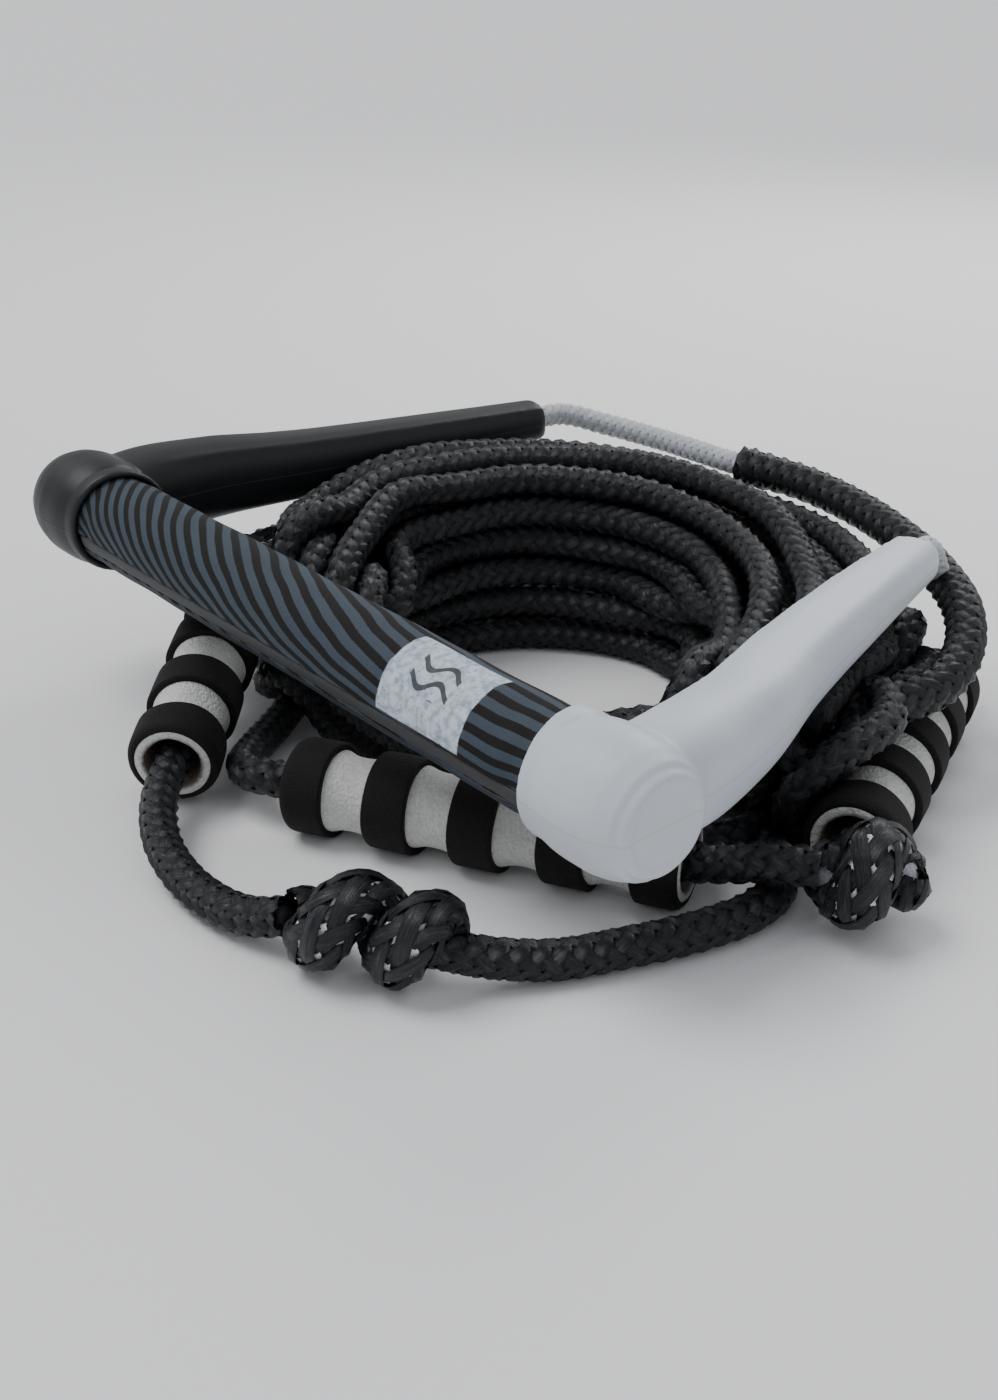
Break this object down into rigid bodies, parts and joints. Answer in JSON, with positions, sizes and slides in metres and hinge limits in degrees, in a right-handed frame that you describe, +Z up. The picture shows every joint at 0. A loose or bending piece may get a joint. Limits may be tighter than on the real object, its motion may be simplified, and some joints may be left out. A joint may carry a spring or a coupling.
{
  "type": "tow rope handle",
  "caption": "Water sports tow rope wound up with its handle: a foam grip between two moulded rubber arms, a short bridle, a pile of braided rope with knots, and foam floats on it.",
  "frame": {"origin": "under the middle of the whole object, on the surface it lies on", "axes": "+X along the grip from the black cap to the white cap, +Y from the grip towards the bridle, +Z up"},
  "size_m": [0.3103, 0.2632, 0.0739],
  "materials": {
    "tube": "satin",
    "grip_foam": "matte foam, diagonal stripes",
    "seam_strip": "matte",
    "cap_black": "satin",
    "cap_white": "satin",
    "plug": "matte",
    "bridle_rope": "braided",
    "tow_rope": "braided, glossy filaments",
    "float_core": "pebbled foam",
    "float_band": "matte foam skin"
  },
  "bodies": {
    "rope": {"bridle_leg_left": "bridle_rope", "bridle_leg_right": "bridle_rope", "splice_sleeve": "tow_rope", "rope_coil": "tow_rope", "rope_run_left": "tow_rope", "knot_left": "tow_rope", "rope_run_front": "tow_rope", "rope_run_middle": "tow_rope", "knot_right": "tow_rope", "rope_run_right": "tow_rope", "wrap_left_a": "tow_rope", "wrap_left_b": "tow_rope", "wrap_right_a": "tow_rope", "wrap_right_b": "tow_rope", "top_fold": "tow_rope"},
    "handle": {"grip_tube": "tube", "grip_foam": "grip_foam", "grip_seam_strip": "seam_strip", "cap_black": "cap_black", "cap_white": "cap_white", "tube_plug_left": "plug", "tube_plug_right": "plug", "bridle_inner": "bridle_rope"},
    "float_left": {"float_left_core": "float_core", "float_left_band_1": "float_band", "float_left_band_2": "float_band", "float_left_band_3": "float_band", "float_left_band_4": "float_band", "float_left_band_5": "float_band"},
    "float_middle": {"float_middle_core": "float_core", "float_middle_band_1": "float_band", "float_middle_band_2": "float_band", "float_middle_band_3": "float_band", "float_middle_band_4": "float_band", "float_middle_band_5": "float_band"},
    "float_right": {"float_right_core": "float_core", "float_right_band_1": "float_band", "float_right_band_2": "float_band", "float_right_band_3": "float_band", "float_right_band_4": "float_band", "float_right_band_5": "float_band"}
  },
  "joints": [
    {"name": "handle_lift", "type": "hinge", "parent": "rope", "child": "handle", "pos_m": [-0.09883, 0.08804, 0.06683], "axis": [-0.9994, 0, 0.0349], "range_deg": [0, 75], "deforming": ["bridle_leg_left", "bridle_leg_right"]},
    {"name": "float_left_slide", "type": "slide", "parent": "rope", "child": "float_left", "axis": [-0.7111, 0.6815, 0.1728], "range_m": [0, 0.006]},
    {"name": "float_middle_slide", "type": "slide", "parent": "rope", "child": "float_middle", "axis": [0.8872, 0.4614, 0], "range_m": [-0.006, 0.006]},
    {"name": "float_right_slide", "type": "slide", "parent": "rope", "child": "float_right", "axis": [-0.45, 0.893, 0], "range_m": [-0.004, 0.006]}
  ]
}
